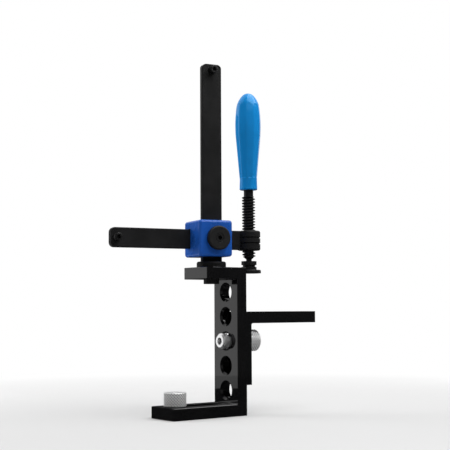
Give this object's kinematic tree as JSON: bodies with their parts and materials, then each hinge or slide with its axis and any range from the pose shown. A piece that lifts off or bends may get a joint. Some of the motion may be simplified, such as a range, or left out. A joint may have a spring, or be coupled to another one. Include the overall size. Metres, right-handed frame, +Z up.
{
  "type": "welding table stop angle",
  "caption": "Welding table stop angle with slotted foot, bored upright and top flange, a bolted support angle, ball-lock bolts and a sliding-arm screw clamp",
  "frame": {"origin": "underside of the foot, under the upright's back face, midway across the width", "axes": "+Z up, +X from the upright towards the workpiece and the support angle, the foot points along -X"},
  "size_m": [0.2331, 0.0576, 0.3805],
  "materials": {
    "black_steel": "smooth black finish, semi-gloss",
    "black_bar": "matt black",
    "black_screw": "black oxide, satin",
    "black_spindle": "black oxide, satin",
    "black_knob": "fine grain, matt",
    "blue_block": "glossy blue",
    "blue_grip": "glossy moulded blue",
    "bright_steel": "bright turned and knurled",
    "ball_steel": "polished"
  },
  "bodies": {
    "stop": {"stop_angle": "black_steel", "support_bolt_shank": "bright_steel"},
    "support": {"support_angle": "black_steel"},
    "table_bolt": {"table_bolt_shank": "bright_steel"},
    "column": {"column_foot": "black_bar", "column_bar": "black_bar", "column_stop_screw": "black_screw"},
    "block": {"clamp_block": "blue_block"},
    "lock_disc": {"lock_thrust_disc": "black_screw"},
    "lock": {"lock_screw": "black_screw", "lock_knob": "black_knob"},
    "arm": {"arm_bar": "black_bar", "arm_stop_screw": "black_screw", "spindle_nut": "black_bar"},
    "pad": {"pressure_pad": "black_spindle"},
    "screw": {"spindle": "black_spindle", "handle": "blue_grip"},
    "table_bolt_pin": {"table_bolt_thrust_pin": "bright_steel"},
    "table_bolt_hand_head": {"table_bolt_head": "bright_steel"},
    "table_bolt_lock_ball_1": {"table_bolt_ball_1": "ball_steel"},
    "table_bolt_lock_ball_2": {"table_bolt_ball_2": "ball_steel"},
    "table_bolt_lock_ball_3": {"table_bolt_ball_3": "ball_steel"},
    "support_bolt_pin": {"support_bolt_thrust_pin": "bright_steel"},
    "support_bolt_hand_head": {"support_bolt_head": "bright_steel"},
    "support_bolt_lock_ball_1": {"support_bolt_ball_1": "ball_steel"},
    "support_bolt_lock_ball_2": {"support_bolt_ball_2": "ball_steel"},
    "support_bolt_lock_ball_3": {"support_bolt_ball_3": "ball_steel"}
  },
  "joints": [
    {"name": "support_turn", "type": "hinge", "parent": "stop", "child": "support", "pos_m": [0.012, 0, 0.075], "axis": [1, 0, 0], "continuous": true},
    {"name": "table_bolt_slide", "type": "slide", "parent": "stop", "child": "table_bolt", "axis": [1, 0, 0], "range_m": [0, 0.047]},
    {"name": "table_bolt_pin_travel", "type": "slide", "parent": "table_bolt", "child": "table_bolt_pin", "axis": [0, 0, 1], "range_m": [0, 0.00275]},
    {"name": "table_bolt_turn", "type": "hinge", "parent": "table_bolt_pin", "child": "table_bolt_hand_head", "pos_m": [-0.075, 0, 0.012], "axis": [0, 0, 1], "range_deg": [0, 792.5]},
    {"name": "table_bolt_ball_1_travel", "type": "slide", "parent": "table_bolt", "child": "table_bolt_lock_ball_1", "axis": [0, -1, 0], "range_m": [0, 0.0016]},
    {"name": "table_bolt_ball_2_travel", "type": "slide", "parent": "table_bolt", "child": "table_bolt_lock_ball_2", "axis": [0.866, 0.5, 0], "range_m": [0, 0.0016]},
    {"name": "table_bolt_ball_3_travel", "type": "slide", "parent": "table_bolt", "child": "table_bolt_lock_ball_3", "axis": [-0.866, 0.5, 0], "range_m": [0, 0.0016]},
    {"name": "support_bolt_pin_travel", "type": "slide", "parent": "stop", "child": "support_bolt_pin", "axis": [1, 0, 0], "range_m": [0, 0.00275]},
    {"name": "support_bolt_turn", "type": "hinge", "parent": "support_bolt_pin", "child": "support_bolt_hand_head", "pos_m": [0.012, 0, 0.075], "axis": [1, 0, 0], "range_deg": [0, 792.5]},
    {"name": "support_bolt_ball_1_travel", "type": "slide", "parent": "stop", "child": "support_bolt_lock_ball_1", "axis": [0, -1, 0], "range_m": [0, 0.0016]},
    {"name": "support_bolt_ball_2_travel", "type": "slide", "parent": "stop", "child": "support_bolt_lock_ball_2", "axis": [0, 0.5, -0.866], "range_m": [0, 0.0016]},
    {"name": "support_bolt_ball_3_travel", "type": "slide", "parent": "stop", "child": "support_bolt_lock_ball_3", "axis": [0, 0.5, 0.866], "range_m": [0, 0.0016]},
    {"name": "clamp_swivel", "type": "hinge", "parent": "stop", "child": "column", "pos_m": [-0.03, 0, 0.15], "axis": [0, 0, 1], "continuous": true},
    {"name": "block_slide", "type": "slide", "parent": "column", "child": "block", "axis": [0, 0, 1], "range_m": [-0.004, 0.15]},
    {"name": "arm_slide", "type": "slide", "parent": "block", "child": "arm", "axis": [0.981, -0.1938, 0], "range_m": [-0.0055, 0.074]},
    {"name": "lock_disc_travel", "type": "slide", "parent": "block", "child": "lock_disc", "axis": [-0.1938, -0.981, 0], "range_m": [0, 0.00251]},
    {"name": "lock_turn", "type": "hinge", "parent": "lock_disc", "child": "lock", "pos_m": [-0.03431, -0.01668, 0.1792], "axis": [-0.1938, -0.981, 0], "range_deg": [0, 720]},
    {"name": "pad_travel", "type": "slide", "parent": "arm", "child": "pad", "axis": [0, 0, 1], "range_m": [-0.035, 0.0105]},
    {"name": "spindle_turn", "type": "hinge", "parent": "pad", "child": "screw", "pos_m": [0.01903, 0, 0.145], "axis": [0, 0, 1], "range_deg": [-4201, 1261]}
  ],
  "couplings": [
    {"joint": "table_bolt_turn", "follows": "table_bolt_pin_travel", "rad_per_m": 5026.5},
    {"joint": "table_bolt_ball_1_travel", "follows": "table_bolt_pin_travel", "ratio": 0.57735},
    {"joint": "table_bolt_ball_2_travel", "follows": "table_bolt_pin_travel", "ratio": 0.57735},
    {"joint": "table_bolt_ball_3_travel", "follows": "table_bolt_pin_travel", "ratio": 0.57735},
    {"joint": "support_bolt_turn", "follows": "support_bolt_pin_travel", "rad_per_m": 5026.5},
    {"joint": "support_bolt_ball_1_travel", "follows": "support_bolt_pin_travel", "ratio": 0.57735},
    {"joint": "support_bolt_ball_2_travel", "follows": "support_bolt_pin_travel", "ratio": 0.57735},
    {"joint": "support_bolt_ball_3_travel", "follows": "support_bolt_pin_travel", "ratio": 0.57735},
    {"joint": "lock_disc_travel", "follows": "lock_turn", "m_per_rad": 0.00019894},
    {"joint": "spindle_turn", "follows": "pad_travel", "rad_per_m": 2094.4}
  ]
}
